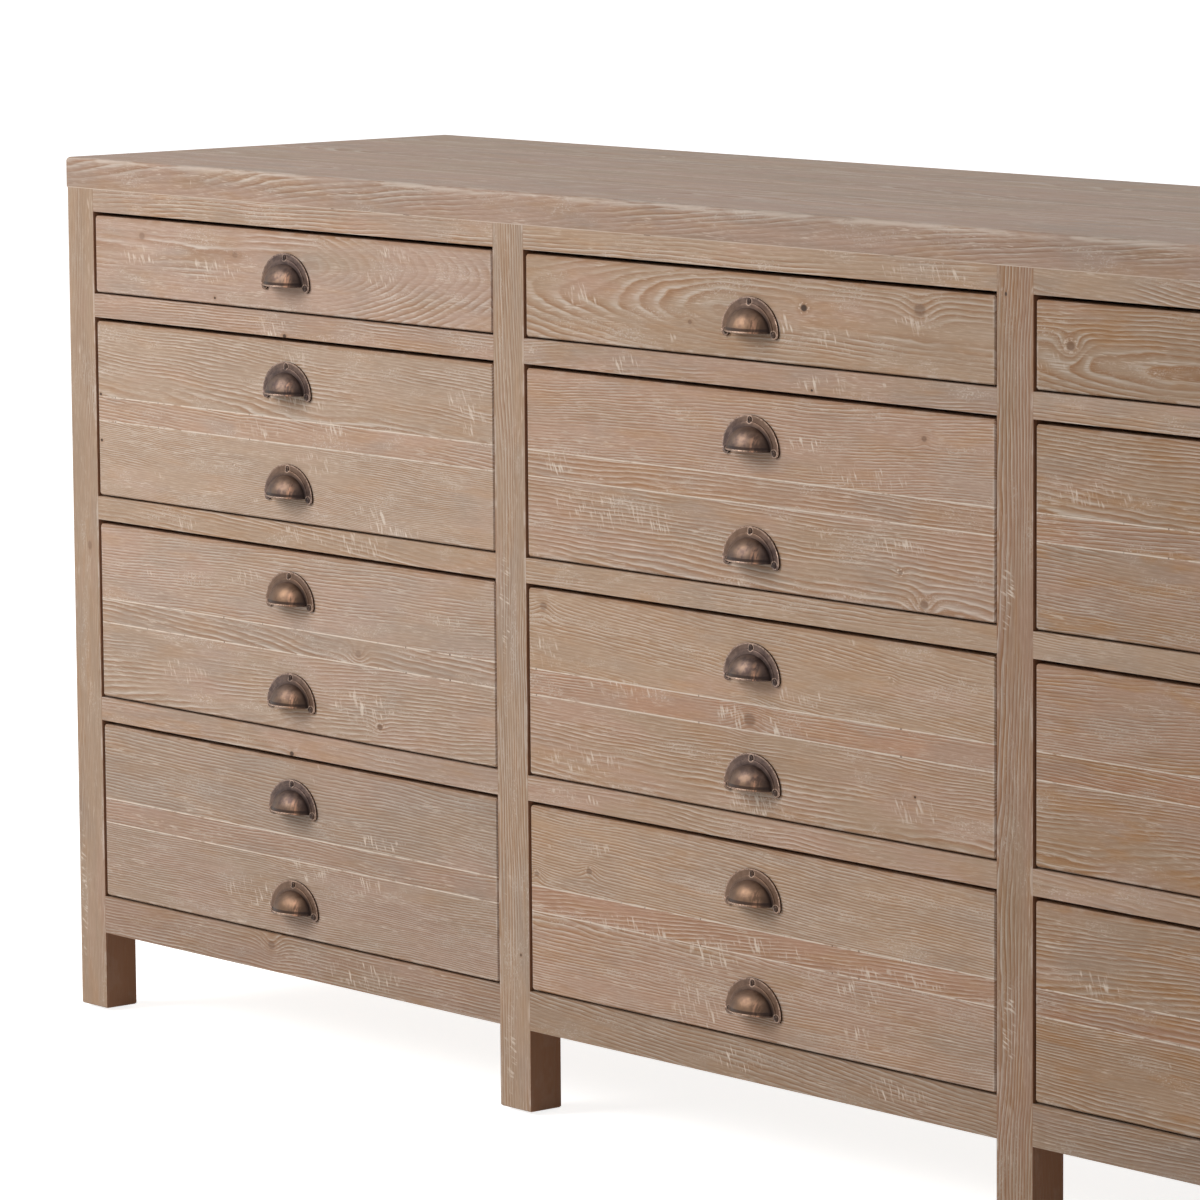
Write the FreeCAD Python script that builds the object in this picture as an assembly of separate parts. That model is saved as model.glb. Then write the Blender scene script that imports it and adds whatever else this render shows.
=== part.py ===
import FreeCAD, Part
import math
import os

# A long, low chest of reclaimed pine: a face frame of posts and rails divides the front into
# columns of inset drawers, one shallow drawer above three deep ones. Each deep front is glued up
# from two wide boards with a narrow strip between them, so that it looks like two shallow drawers
# with a rail between, and carries two cup pulls. The boxes run on wooden runners.
#
# X runs along the front, Y from the front to the back, and Z up. The origin is on the floor under
# the middle of the whole chest, pulls included. Columns count from the left and rows from the top.

# Driving dimensions, in millimetres.
COLUMNS = 3
DEEP_ROWS = 3
OPENING_WIDTH = 624.0
SHALLOW_OPENING_HEIGHT = 81.0
DEEP_OPENING_HEIGHT = 178.0
CARCASS_DEPTH = 480.0

TOP_THICKNESS = 30.0
TOP_BOARDS = 4
TOP_ARRIS_RADIUS = 4.0

POST_WIDTH = 44.0
POST_DEPTH = 36.0
POST_ARRIS_RADIUS = 2.5
LEG_HEIGHT = 77.0
FOOT_CHAMFER = 1.2

BOTTOM_RAIL_HEIGHT = 37.0
DRAWER_RAIL_HEIGHT = 23.0
TOP_RAIL_HEIGHT = 22.0
REAR_RAIL_DEPTH = 20.0

GLIDE_RADIUS = 7.0
GLIDE_HEIGHT = 3.0

PARTITION_THICKNESS = 18.0
SIDE_PANEL_THICKNESS = 16.0
SIDE_PANEL_RECESS = 7.0
SIDE_BOARDS = 5
SIDE_BOARD_CHAMFER = 1.2
BACK_PANEL_THICKNESS = 6.0
BACK_PANEL_RECESS = 4.0

RUNNER_WIDTH = 26.0
GUIDE_RISE = 16.0
STOP_LENGTH = 15.0
STOP_HEIGHT = 12.0

FRONT_THICKNESS = 21.0
FRONT_SETBACK = 0.5
FRONT_SIDE_GAP = 2.5
FRONT_TOP_GAP = 4.0
FRONT_BOTTOM_GAP = 2.0
FRONT_CORNER_CHAMFER = 1.8
FRONT_ARRIS = 1.2
FRONT_STRIP_HEIGHT = 24.0

BOX_THICKNESS = 12.0
BOX_HEADROOM = 10.0
BOX_BOTTOM_THICKNESS = 5.0
BOX_BOTTOM_RISE = 8.0
BOX_BACK_INSET = 8.0
GROOVE_DEPTH = 5.0
TAIL_PITCH = 55.0
TAIL_SHARE = 0.62
TAIL_SLOPE = 1.0 / 7.0

PULL_WIDTH = 75.0
PULL_RISE = 31.0
PULL_PROJECTION = 18.5
PULL_FLANGE_THICKNESS = 1.8
PULL_LUG_RADIUS = 5.2
PULL_LIP_DROP = 13.0
CUP_WIDTH = 55.0
CUP_HEIGHT = 21.5
CUP_WALL = 1.4
CUP_LIP_THICKNESS = 1.6
CUP_LIP_OVERHANG = 0.9
CUP_SIDES = 10
CUP_TIERS = 4
HOLLOW_TIERS = 3
FLANGE_SIDES = 14
LUG_SIDES = 4

# Clearances.
RUNNING_CLEARANCE = 0.3
GUIDE_CLEARANCE = 0.8
GROOVE_CLEARANCE = 0.5

# Sizes that follow from the ones above.
PITCH = OPENING_WIDTH + POST_WIDTH
WIDTH = COLUMNS * PITCH + POST_WIDTH
LEFT = -WIDTH / 2
RIGHT = WIDTH / 2
PULL_STANDOFF = PULL_PROJECTION - FRONT_SETBACK
FRONT = -(CARCASS_DEPTH + PULL_STANDOFF) / 2 + PULL_STANDOFF
BACK = FRONT + CARCASS_DEPTH
FRAME_BACK = FRONT + POST_DEPTH
BACK_PANEL_FRONT = BACK - BACK_PANEL_RECESS - BACK_PANEL_THICKNESS
REAR_RAIL_FRONT = BACK_PANEL_FRONT - REAR_RAIL_DEPTH
SIDE_RAIL_THICKNESS = SIDE_PANEL_RECESS + SIDE_PANEL_THICKNESS
DRAWER_FACE = FRONT + FRONT_SETBACK
BOX_FRONT = DRAWER_FACE + FRONT_THICKNESS
BOX_BACK = REAR_RAIL_FRONT - STOP_LENGTH - RUNNING_CLEARANCE
BOX_WIDTH = OPENING_WIDTH - 2 * GUIDE_CLEARANCE
FRAME_BOTTOM = GLIDE_HEIGHT + LEG_HEIGHT
ROWS = DEEP_ROWS + 1
RAIL_HEIGHTS = [TOP_RAIL_HEIGHT] + [DRAWER_RAIL_HEIGHT] * DEEP_ROWS + [BOTTOM_RAIL_HEIGHT]
OPENING_HEIGHTS = [SHALLOW_OPENING_HEIGHT] + [DEEP_OPENING_HEIGHT] * DEEP_ROWS
FRAME_TOP = FRAME_BOTTOM + sum(RAIL_HEIGHTS) + sum(OPENING_HEIGHTS)


def vector(x, y, z):
    """A point or direction in the chest's frame."""
    return FreeCAD.Vector(x, y, z)


def block(x_span, y_span, z_span):
    """A rectangular solid between three pairs of limits."""
    corner = vector(x_span[0], y_span[0], z_span[0])
    size = [span[1] - span[0] for span in (x_span, y_span, z_span)]
    return Part.makeBox(size[0], size[1], size[2], corner)


def flat_face(points):
    """The flat face with these corners."""
    return Part.Face(Part.makePolygon(points + points[:1]))


def edges_where(shape, test):
    """The straight edges of a shape whose two ends both pass a test."""
    chosen = []
    for edge in shape.Edges:
        ends = [vertex.Point for vertex in edge.Vertexes]
        if len(ends) == 2 and test(ends[0], ends[1]):
            chosen.append(edge)
    return chosen


def same(first, second):
    """Whether two lengths are equal, to well under a hundredth of a millimetre."""
    return abs(first - second) < 0.001


def write_node(name, solids):
    """Write one sub-part, as one solid or as a group of separate solids."""
    shape = solids[0] if len(solids) == 1 else Part.makeCompound(solids)
    shape.exportStep(os.path.join("parts", name + ".step"))


def post_span(index):
    """The left and right faces of a post, counted from 0 at the left end."""
    left = LEFT + index * PITCH
    return (left, left + POST_WIDTH)


def opening_span(column):
    """The left and right limits of a column's drawer openings."""
    left = post_span(column)[1]
    return (left, left + OPENING_WIDTH)


def rail_span(level):
    """The bottom and top of the rails at a level, counted from 0 at the top."""
    top = FRAME_TOP - sum(RAIL_HEIGHTS[:level]) - sum(OPENING_HEIGHTS[:level])
    return (top - RAIL_HEIGHTS[level], top)


def drawer_span(row):
    """The bottom and top of a row's drawer openings."""
    return (rail_span(row + 1)[1], rail_span(row)[0])


def wall_faces(column):
    """The faces of the side panels or partitions that a column's guides are fixed to."""
    left_post = post_span(column)
    right_post = post_span(column + 1)
    half = PARTITION_THICKNESS / 2
    left = sum(left_post) / 2 + half
    right = sum(right_post) / 2 - half
    if column == 0:
        left = LEFT + SIDE_RAIL_THICKNESS
    if column == COLUMNS - 1:
        right = RIGHT - SIDE_RAIL_THICKNESS
    return (left, right)


def top_boards():
    """The top: boards glued edge to edge, with the outer arrises worn round."""
    slab = block((LEFT, RIGHT), (FRONT, BACK), (FRAME_TOP, FRAME_TOP + TOP_THICKNESS))
    upper = FRAME_TOP + TOP_THICKNESS

    def arris(first, second):
        return same(first.z, upper) and same(second.z, upper)

    slab = slab.makeFillet(TOP_ARRIS_RADIUS, edges_where(slab, arris))
    width = CARCASS_DEPTH / TOP_BOARDS
    boards = []
    for index in range(TOP_BOARDS):
        near = FRONT + index * width
        strip = block((LEFT, RIGHT), (near, near + width), (FRAME_TOP, upper))
        boards.append(slab.common(strip).Solids[0])
    return boards


def post(index, y_span, outer_y):
    """A post that runs from its glide to the top, and is the leg below the frame."""
    x_span = post_span(index)
    shape = block(x_span, y_span, (GLIDE_HEIGHT, FRAME_TOP))
    end_face = LEFT if index == 0 else RIGHT

    def corner(first, second):
        upright = not same(first.z, second.z)
        return upright and same(first.x, end_face) and same(first.y, outer_y)

    def foot(first, second):
        return same(first.z, GLIDE_HEIGHT) and same(second.z, GLIDE_HEIGHT)

    if index in (0, COLUMNS):
        shape = shape.makeFillet(POST_ARRIS_RADIUS, edges_where(shape, corner))
    return shape.makeChamfer(FOOT_CHAMFER, edges_where(shape, foot))


def front_posts():
    """The posts of the face frame, from the left."""
    return [post(index, (FRONT, FRONT + POST_DEPTH), FRONT) for index in range(COLUMNS + 1)]


def rear_posts():
    """The posts at the back, from the left."""
    return [post(index, (BACK - POST_DEPTH, BACK), BACK) for index in range(COLUMNS + 1)]


def glides():
    """A round nail-on glide under every post."""
    near = FRONT + POST_DEPTH / 2
    far = BACK - POST_DEPTH / 2
    solids = []
    for index in range(COLUMNS + 1):
        middle = sum(post_span(index)) / 2
        for y in (near, far):
            solids.append(Part.makeCylinder(GLIDE_RADIUS, GLIDE_HEIGHT, vector(middle, y, 0)))
    return solids


def rails(level, y_span):
    """The rails of one level, one between each pair of posts."""
    return [block(opening_span(column), y_span, rail_span(level)) for column in range(COLUMNS)]


def rear_rails():
    """The rails inside the back, level with those of the face frame."""
    solids = []
    for level in range(ROWS + 1):
        solids += rails(level, (REAR_RAIL_FRONT, BACK_PANEL_FRONT))
    return solids


def back_panels():
    """A plywood panel between each pair of rear posts."""
    y_span = (BACK_PANEL_FRONT, BACK_PANEL_FRONT + BACK_PANEL_THICKNESS)
    z_span = (FRAME_BOTTOM, FRAME_TOP)
    return [block(opening_span(column), y_span, z_span) for column in range(COLUMNS)]


def between_posts():
    """The space from the back of the front posts to the front of the rear ones."""
    return (FRONT + POST_DEPTH, BACK - POST_DEPTH)


def side_x_span(outer, inner, side):
    """A span measured inwards from the left (-1) or right (1) end face."""
    if side < 0:
        return (LEFT + outer, LEFT + inner)
    return (RIGHT - inner, RIGHT - outer)


def side_rails():
    """The bottom and top rails of both ends."""
    solids = []
    for side in (-1, 1):
        x_span = side_x_span(0, SIDE_RAIL_THICKNESS, side)
        for level in (ROWS, 0):
            solids.append(block(x_span, between_posts(), rail_span(level)))
    return solids


def side_panel(side):
    """The boards of one end, set back between its rails, with chamfered seams outside."""
    x_span = side_x_span(SIDE_PANEL_RECESS, SIDE_RAIL_THICKNESS, side)
    outer = x_span[0] if side < 0 else x_span[1]
    lowest = rail_span(ROWS)[1]
    height = (rail_span(0)[0] - lowest) / SIDE_BOARDS

    def seam(first, second):
        level = same(first.z, second.z)
        return level and same(first.x, outer) and same(second.x, outer)

    boards = []
    for index in range(SIDE_BOARDS):
        z_span = (lowest + index * height, lowest + (index + 1) * height)
        board = block(x_span, between_posts(), z_span)
        boards.append(board.makeChamfer(SIDE_BOARD_CHAMFER, edges_where(board, seam)))
    return boards


def partition(index):
    """The upright panel behind an inner post."""
    middle = sum(post_span(index)) / 2
    x_span = (middle - PARTITION_THICKNESS / 2, middle + PARTITION_THICKNESS / 2)
    return block(x_span, between_posts(), (FRAME_BOTTOM, FRAME_TOP))


def edge_strips(column, reach):
    """The x spans of a pair of strips that reach into an opening from its two sides."""
    left, right = opening_span(column)
    return ((left, left + reach), (right - reach, right))


def runners(levels):
    """The strips between front and rear rails that carry a box and hold down the one below."""
    solids = []
    for level in levels:
        for column in range(COLUMNS):
            for x_span in edge_strips(column, RUNNER_WIDTH):
                solids.append(block(x_span, (FRAME_BACK, REAR_RAIL_FRONT), rail_span(level)))
    return solids


def guides():
    """The packing strips that carry the runners and steer the boxes."""
    solids = []
    for level in range(1, ROWS + 1):
        bottom, top = rail_span(level)
        for column in range(COLUMNS):
            left_wall, right_wall = wall_faces(column)
            left, right = opening_span(column)
            for x_span in ((left_wall, left), (right, right_wall)):
                solids.append(block(x_span, between_posts(), (bottom, top + GUIDE_RISE)))
    return solids


def stops():
    """The blocks on the rear of the runners that stop each front flush with the frame."""
    y_span = (REAR_RAIL_FRONT - STOP_LENGTH, REAR_RAIL_FRONT)
    solids = []
    for level in range(1, ROWS + 1):
        top = rail_span(level)[1]
        for column in range(COLUMNS):
            for x_span in edge_strips(column, RUNNER_WIDTH):
                solids.append(block(x_span, y_span, (top, top + STOP_HEIGHT)))
    return solids


def drawer_front_span(column, row):
    """The x and z limits of a drawer's front inside its opening."""
    left, right = opening_span(column)
    bottom, top = drawer_span(row)
    x_span = (left + FRONT_SIDE_GAP, right - FRONT_SIDE_GAP)
    return x_span, (bottom + FRONT_BOTTOM_GAP, top - FRONT_TOP_GAP)


def board_heights(row):
    """The heights of the boards in a row's fronts, from the lowest up."""
    z_span = drawer_front_span(0, row)[1]
    height = z_span[1] - z_span[0]
    if row == 0:
        return [height]
    wide = (height - FRONT_STRIP_HEIGHT) / 2
    return [wide, FRONT_STRIP_HEIGHT, wide]


def drawer_front(column, row):
    """The boards of one front, with eased corners and a softened outer arris."""
    x_span, z_span = drawer_front_span(column, row)
    y_span = (DRAWER_FACE, BOX_FRONT)
    slab = block(x_span, y_span, z_span)

    def corner(first, second):
        return not same(first.y, second.y)

    slab = slab.makeChamfer(FRONT_CORNER_CHAMFER, edges_where(slab, corner))
    rim = [edge for edge in slab.Edges if same(edge.BoundBox.YMax, DRAWER_FACE)]
    slab = slab.makeChamfer(FRONT_ARRIS, rim)
    boards = []
    bottom = z_span[0]
    for height in board_heights(row):
        strip = block(x_span, y_span, (bottom, bottom + height))
        boards.append(slab.common(strip).Solids[0])
        bottom += height
    return boards


def tail(x_span, end, inner, middle, width):
    """One dovetail: a prism through a side's thickness that is widest at the box's end."""
    slope = abs(inner - end) * TAIL_SLOPE
    wide = width / 2
    narrow = wide - slope
    outline = [(end, -wide), (end, wide), (inner, narrow), (inner, -narrow)]
    points = [vector(x_span[0], y, middle + z) for y, z in outline]
    return flat_face(points).extrude(vector(x_span[1] - x_span[0], 0, 0))


def tails(x_span, end, inner, z_span):
    """The dovetails of one corner of a box, evenly spaced over its height."""
    height = z_span[1] - z_span[0]
    count = max(1, round(height / TAIL_PITCH))
    pitch = height / count
    middles = [z_span[0] + pitch * (index + 0.5) for index in range(count)]
    return [tail(x_span, end, inner, middle, pitch * TAIL_SHARE) for middle in middles]


def box_limits(column, row):
    """The outer limits of a drawer's box: x, y and z spans."""
    middle = sum(opening_span(column)) / 2
    bottom, top = drawer_span(row)
    x_span = (middle - BOX_WIDTH / 2, middle + BOX_WIDTH / 2)
    return x_span, (BOX_FRONT, BOX_BACK), (bottom + RUNNING_CLEARANCE, top - BOX_HEADROOM)


def drawer_box(column, row):
    """A box dovetailed at the front, with its back housed in the sides over a grooved bottom."""
    (left, right), (near, far), z_span = box_limits(column, row)
    inner_near = near + BOX_THICKNESS
    back_span = (far - BOX_BACK_INSET - BOX_THICKNESS, far - BOX_BACK_INSET)
    floor = z_span[0] + BOX_BOTTOM_RISE
    floor_span = (floor, floor + BOX_BOTTOM_THICKNESS)
    inset = BOX_THICKNESS - GROOVE_DEPTH
    housed = (left + inset, right - inset)
    groove = block(housed, (near + inset, far), floor_span)
    back = block(housed, back_span, (floor_span[1], z_span[1]))
    boards = [back]
    all_tails = []
    for x_span in ((left, left + BOX_THICKNESS), (right - BOX_THICKNESS, right)):
        own = tails(x_span, near, inner_near, z_span)
        side = block(x_span, (inner_near, far), z_span).multiFuse(own).removeSplitter()
        boards.append(side.cut([groove, back]).Solids[0])
        all_tails += own
    front = block((left, right), (near, inner_near), z_span)
    boards.append(front.cut(all_tails + [groove]).Solids[0])
    panel_x = (housed[0] + GROOVE_CLEARANCE, housed[1] - GROOVE_CLEARANCE)
    boards.append(block(panel_x, (near + inset + GROOVE_CLEARANCE, far), floor_span))
    return boards


def half_ring(half_width, depth, level, sides):
    """Points of half an ellipse in front of the plane y = 0, from its right end to its left."""
    angles = [math.pi * index / sides for index in range(sides + 1)]
    return [vector(half_width * math.cos(a), -depth * math.sin(a), level) for a in angles]


def half_dome(half_width, depth, height, tiers):
    """A quarter of an ellipsoid in flat facets, in front of y = 0 and above z = 0."""
    rings = []
    for tier in range(tiers):
        rise = math.pi / 2 * tier / tiers
        share = math.cos(rise)
        rings.append(half_ring(half_width * share, depth * share, height * math.sin(rise), CUP_SIDES))
    apex = vector(0, 0, height)
    faces = [flat_face(rings[0])]
    for lower, upper in zip(rings, rings[1:]):
        for side in range(CUP_SIDES):
            faces.append(flat_face([lower[side], lower[side + 1], upper[side + 1], upper[side]]))
    for side in range(CUP_SIDES):
        faces.append(flat_face([rings[-1][side], rings[-1][side + 1], apex]))
    right = [ring[0] for ring in rings]
    left = [ring[-1] for ring in reversed(rings)]
    faces.append(flat_face(right + [apex] + left))
    return Part.Solid(Part.Shell(faces))


def flange_outline():
    """The flange seen from in front: half an ellipse, with a round lug below each end."""
    half = PULL_WIDTH / 2
    outline = half_ring(half, PULL_RISE, 0, FLANGE_SIDES)
    for side in (-1, 1):
        middle = side * (half - PULL_LUG_RADIUS)
        lug = half_ring(PULL_LUG_RADIUS, PULL_LUG_RADIUS, 0, LUG_SIDES)
        outline += [vector(middle - point.x, -point.y, 0) for point in lug]
    points = [vector(point.x, 0, -point.y) for point in outline]
    return points[:FLANGE_SIDES] + points[FLANGE_SIDES + 1:-1]


def cup_pull():
    """A cup pull at the origin: a flange on the plane y = 0, and a hollow cup open below."""
    half = CUP_WIDTH / 2
    depth = PULL_PROJECTION - CUP_LIP_OVERHANG
    inner = half - CUP_WALL
    cup = half_dome(half, depth, CUP_HEIGHT, CUP_TIERS)
    hollow = half_dome(inner, depth - CUP_WALL, CUP_HEIGHT - CUP_WALL, HOLLOW_TIERS)
    lip = flat_face(half_ring(half + CUP_LIP_OVERHANG, PULL_PROJECTION, 0, CUP_SIDES))
    lip = lip.extrude(vector(0, 0, CUP_LIP_THICKNESS))
    flange = flat_face(flange_outline()).extrude(vector(0, -PULL_FLANGE_THICKNESS, 0))
    pull = flange.multiFuse([cup, lip]).removeSplitter().cut(hollow).Solids[0]
    pull.translate(vector(0, 0, -PULL_LIP_DROP))
    return pull


def pull_heights(row):
    """The heights of the pulls on a row's fronts, from the lowest up: one on each wide board."""
    bottom = drawer_front_span(0, row)[1][0]
    heights = []
    for index, height in enumerate(board_heights(row)):
        if index % 2 == 0:
            heights.append(bottom + height / 2)
        bottom += height
    return heights


def drawer_pulls(column, row, pull):
    """The pulls of one drawer, in the middle of its wide boards."""
    middle = sum(opening_span(column)) / 2
    solids = []
    for height in pull_heights(row):
        copy = pull.copy()
        copy.translate(vector(middle, DRAWER_FACE, height))
        solids.append(copy)
    return solids


def write_carcass():
    """Write the fixed sub-parts."""
    write_node("top_boards", top_boards())
    for index, solid in enumerate(front_posts()):
        write_node("post_front_%d" % (index + 1), [solid])
    write_node("posts_rear", rear_posts())
    write_node("glides", glides())
    write_node("rails_front_top", rails(0, (FRONT, FRAME_BACK)))
    for level in range(1, ROWS):
        write_node("rails_front_%d" % level, rails(level, (FRONT, FRAME_BACK)))
    write_node("rails_front_bottom", rails(ROWS, (FRONT, FRAME_BACK)))
    write_node("rails_rear", rear_rails())
    write_node("rails_side", side_rails())
    write_node("panel_left", side_panel(-1))
    write_node("panel_right", side_panel(1))
    write_node("panels_back", back_panels())
    for index in range(1, COLUMNS):
        write_node("partition_%d" % index, [partition(index)])
    write_node("runners", runners(range(1, ROWS + 1)))
    write_node("kickers", runners([0]))
    write_node("guides", guides())
    write_node("stops", stops())


def write_drawers():
    """Write the three sub-parts of every drawer."""
    pull = cup_pull()
    for column in range(COLUMNS):
        for row in range(ROWS):
            name = "drawer_%d_%d" % (column + 1, row + 1)
            write_node(name + "_front", drawer_front(column, row))
            write_node(name + "_box", drawer_box(column, row))
            write_node(name + "_pulls", drawer_pulls(column, row, pull))


os.makedirs("parts", exist_ok=True)
write_carcass()
write_drawers()
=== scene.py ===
import logging
import math
from collections.abc import Callable
from dataclasses import dataclass, field
from enum import Enum
from functools import cached_property

import bpy
from mathutils import Euler, Matrix, Vector


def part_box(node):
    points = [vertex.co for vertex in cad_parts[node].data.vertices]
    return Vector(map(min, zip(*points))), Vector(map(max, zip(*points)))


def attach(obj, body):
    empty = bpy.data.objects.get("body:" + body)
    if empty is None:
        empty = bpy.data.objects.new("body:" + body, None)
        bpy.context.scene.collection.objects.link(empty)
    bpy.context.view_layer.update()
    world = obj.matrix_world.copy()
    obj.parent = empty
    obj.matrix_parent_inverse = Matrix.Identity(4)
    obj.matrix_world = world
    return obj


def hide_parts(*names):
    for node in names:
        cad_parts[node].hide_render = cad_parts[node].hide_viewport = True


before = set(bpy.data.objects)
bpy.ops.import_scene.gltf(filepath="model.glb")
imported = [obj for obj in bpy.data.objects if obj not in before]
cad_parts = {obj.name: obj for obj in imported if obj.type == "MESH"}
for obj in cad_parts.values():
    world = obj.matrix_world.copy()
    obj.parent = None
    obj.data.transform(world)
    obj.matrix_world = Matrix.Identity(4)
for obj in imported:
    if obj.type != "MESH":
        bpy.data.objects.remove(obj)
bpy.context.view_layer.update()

# Looks for a low chest of limed, reclaimed pine with inset drawers and antique copper cup pulls.
# Sizes in the classes are millimetres unless they say otherwise, and the scene is in metres.

MM = 0.001
COLUMNS = 3
ROWS = 4
HOLE_DARKNESS = 0.9
FAR = 1000.0
REAR = (0, 1, 0)
BELOW = (0, 0, -1)
PLACE_ON_PULL = "on_pull"
LOG = logging.getLogger("chest")

Colour = tuple[float, float, float, float]
Looks = dict[str, object]
Place = tuple[float, float, float]
WHITE: Colour = (1.0, 1.0, 1.0, 1.0)


def tint(red: int, green: int, blue: int) -> Colour:
    """Turn a colour written as a screen shows it into linear light.

    Args:
        red: its red, 0 to 255.
        green: its green.
        blue: its blue.

    Returns:
        The colour, opaque.
    """
    def linear(value: int) -> float:
        """Linear light of one channel."""
        share = value / 255
        return share / 12.92 if share <= 0.04045 else ((share + 0.055) / 1.055) ** 2.4
    return (linear(red), linear(green), linear(blue), 1.0)


class Wire:
    """An output of a shader, with arithmetic that adds the Math nodes for it."""

    def __init__(self, shader: "Shader", socket: bpy.types.NodeSocket) -> None:
        """Wrap a socket of a shader."""
        self.shader = shader
        self.socket = socket

    def output(self, index: int) -> "Wire":
        """Another output of the same node."""
        return Wire(self.shader, self.socket.node.outputs[index])

    def __add__(self, other: "Value") -> "Wire":
        """Sum."""
        return self.shader.math("ADD", self, other)

    def __radd__(self, other: "Value") -> "Wire":
        """Sum, from the right."""
        return self.shader.math("ADD", other, self)

    def __sub__(self, other: "Value") -> "Wire":
        """Difference."""
        return self.shader.math("SUBTRACT", self, other)

    def __rsub__(self, other: "Value") -> "Wire":
        """Difference, from the right."""
        return self.shader.math("SUBTRACT", other, self)

    def __mul__(self, other: "Value") -> "Wire":
        """Product."""
        return self.shader.math("MULTIPLY", self, other)

    def __rmul__(self, other: "Value") -> "Wire":
        """Product, from the right."""
        return self.shader.math("MULTIPLY", other, self)

    def __truediv__(self, other: "Value") -> "Wire":
        """Quotient."""
        return self.shader.math("DIVIDE", self, other)

    def __pow__(self, other: "Value") -> "Wire":
        """Power."""
        return self.shader.math("POWER", self, other)

    def __abs__(self) -> "Wire":
        """Absolute value."""
        return self.shader.math("ABSOLUTE", self)


Value = Wire | float


class Shader:
    """The node tree of a material or of the world, and the colour laid in it so far."""

    def __init__(self, owner: bpy.types.Material | bpy.types.World) -> None:
        """Empty the tree.

        Args:
            owner: the new material or world whose tree it is.
        """
        owner.use_nodes = True
        self.owner = owner
        self.tree = owner.node_tree
        self.tree.nodes.clear()
        self.colour: Wire | Colour = WHITE

    def node(self, kind: str, settings: dict | None, sockets: dict | None = None) -> Wire | None:
        """Add a node.

        Args:
            kind: the node's type, without the leading "ShaderNode".
            settings: the node's own properties, which are set first.
            sockets: values or wires for its inputs, by name or number.

        Returns:
            The node's first output, where it has one.
        """
        made = self.tree.nodes.new("ShaderNode" + kind)
        for key, value in (settings or {}).items():
            setattr(made, key, value)
        for key, value in (sockets or {}).items():
            if isinstance(value, Wire):
                self.tree.links.new(value.socket, made.inputs[key])
            else:
                made.inputs[key].default_value = value
        return Wire(self, made.outputs[0]) if made.outputs else None

    def math(self, operation: str, *values: Value) -> Wire:
        """Add a Math node on one to three values."""
        return self.node("Math", {"operation": operation}, dict(enumerate(values)))

    def clamp(self, value: Value) -> Wire:
        """Keep a value between 0 and 1."""
        return self.node("Clamp", None, {"Value": value})

    def smooth(self, value: Value, start: float, end: float) -> Wire:
        """Rise smoothly from 0 at start to 1 at end, or fall if end is the lower."""
        sockets = {"Value": value, "From Min": start, "From Max": end}
        return self.node("MapRange", {"interpolation_type": "SMOOTHSTEP"}, sockets)

    def coat(self, share: Value, colour: Colour) -> None:
        """Lay a colour over the one laid so far.

        Args:
            share: how much of it covers, 0 to 1.
            colour: the colour.
        """
        settings = {"data_type": "RGBA", "blend_type": "MIX", "clamp_factor": True}
        sockets = {0: share, 6: self.colour, 7: colour}
        self.colour = self.node("Mix", settings, sockets).output(2)

    def dim(self, share: Value) -> None:
        """Make the colour laid so far lighter or darker by a share."""
        self.colour = self.node("VectorMath", {"operation": "SCALE"}, {0: self.colour, 3: share})

    def join(self, x: Value, y: Value, z: Value) -> Wire:
        """A vector from three values."""
        return self.node("CombineXYZ", None, {0: x, 1: y, 2: z})

    def split(self, vector: Wire) -> tuple[Wire, Wire, Wire]:
        """The three values of a vector."""
        first = self.node("SeparateXYZ", None, {0: vector})
        return first, first.output(1), first.output(2)

    @cached_property
    def places(self) -> tuple[Wire, Wire, Wire]:
        """The place on the piece in millimetres: x, y and z."""
        place = self.node("TexCoord", None).output(3)
        return self.split(self.node("VectorMath", {"operation": "SCALE"}, {0: place, 3: 1 / MM}))

    def noise(self, vector: Wire, detail: float = 2.0, roughness: float = 0.5) -> Wire:
        """Soft noise around 0.5 whose waves are about one unit of the vector long."""
        sockets = {"Vector": vector, "Scale": 1.0, "Detail": detail, "Roughness": roughness}
        return self.node("TexNoise", {"noise_dimensions": "3D"}, sockets)

    def speckle(self, sizes: Place, detail: float = 2.0, roughness: float = 0.5) -> Wire:
        """Noise on the piece whose waves have these lengths along x, y and z in millimetres."""
        x, y, z = (place / size for place, size in zip(self.places, sizes))
        return self.noise(self.join(x, y, z), detail, roughness)

    def chance(self, number: Value) -> tuple[Wire, Wire, Wire]:
        """Three even random values that belong to a number."""
        noise = self.node("TexWhiteNoise", {"noise_dimensions": "1D"}, {"W": number})
        return self.split(noise.output(1))

    def surface(self, sockets: dict, relief: Wire, depth: float) -> bpy.types.Material:
        """Close the tree with a principled surface in the colour laid so far.

        Args:
            sockets: the surface's other values and wires.
            relief: the height of the surface's own texture, 0 to 1.
            depth: how high that texture stands, in millimetres.

        Returns:
            The finished material.
        """
        bump = self.node("Bump", None, {"Strength": 1.0, "Distance": depth * MM, "Height": relief})
        sockets = {"Base Color": self.colour, "Normal": bump, **sockets}
        skin = self.node("BsdfPrincipled", None, sockets)
        self.node("OutputMaterial", None, {"Surface": skin})
        return self.owner


class Grain(Enum):
    """The way a board lies: the axes along its grain, across its face and into it."""

    ALONG_X_UPRIGHT = (0, 2, 1)
    ALONG_X_FLAT = (0, 1, 2)
    ALONG_Y_UPRIGHT = (1, 2, 0)
    ALONG_Z = (2, 0, 1)


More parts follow.
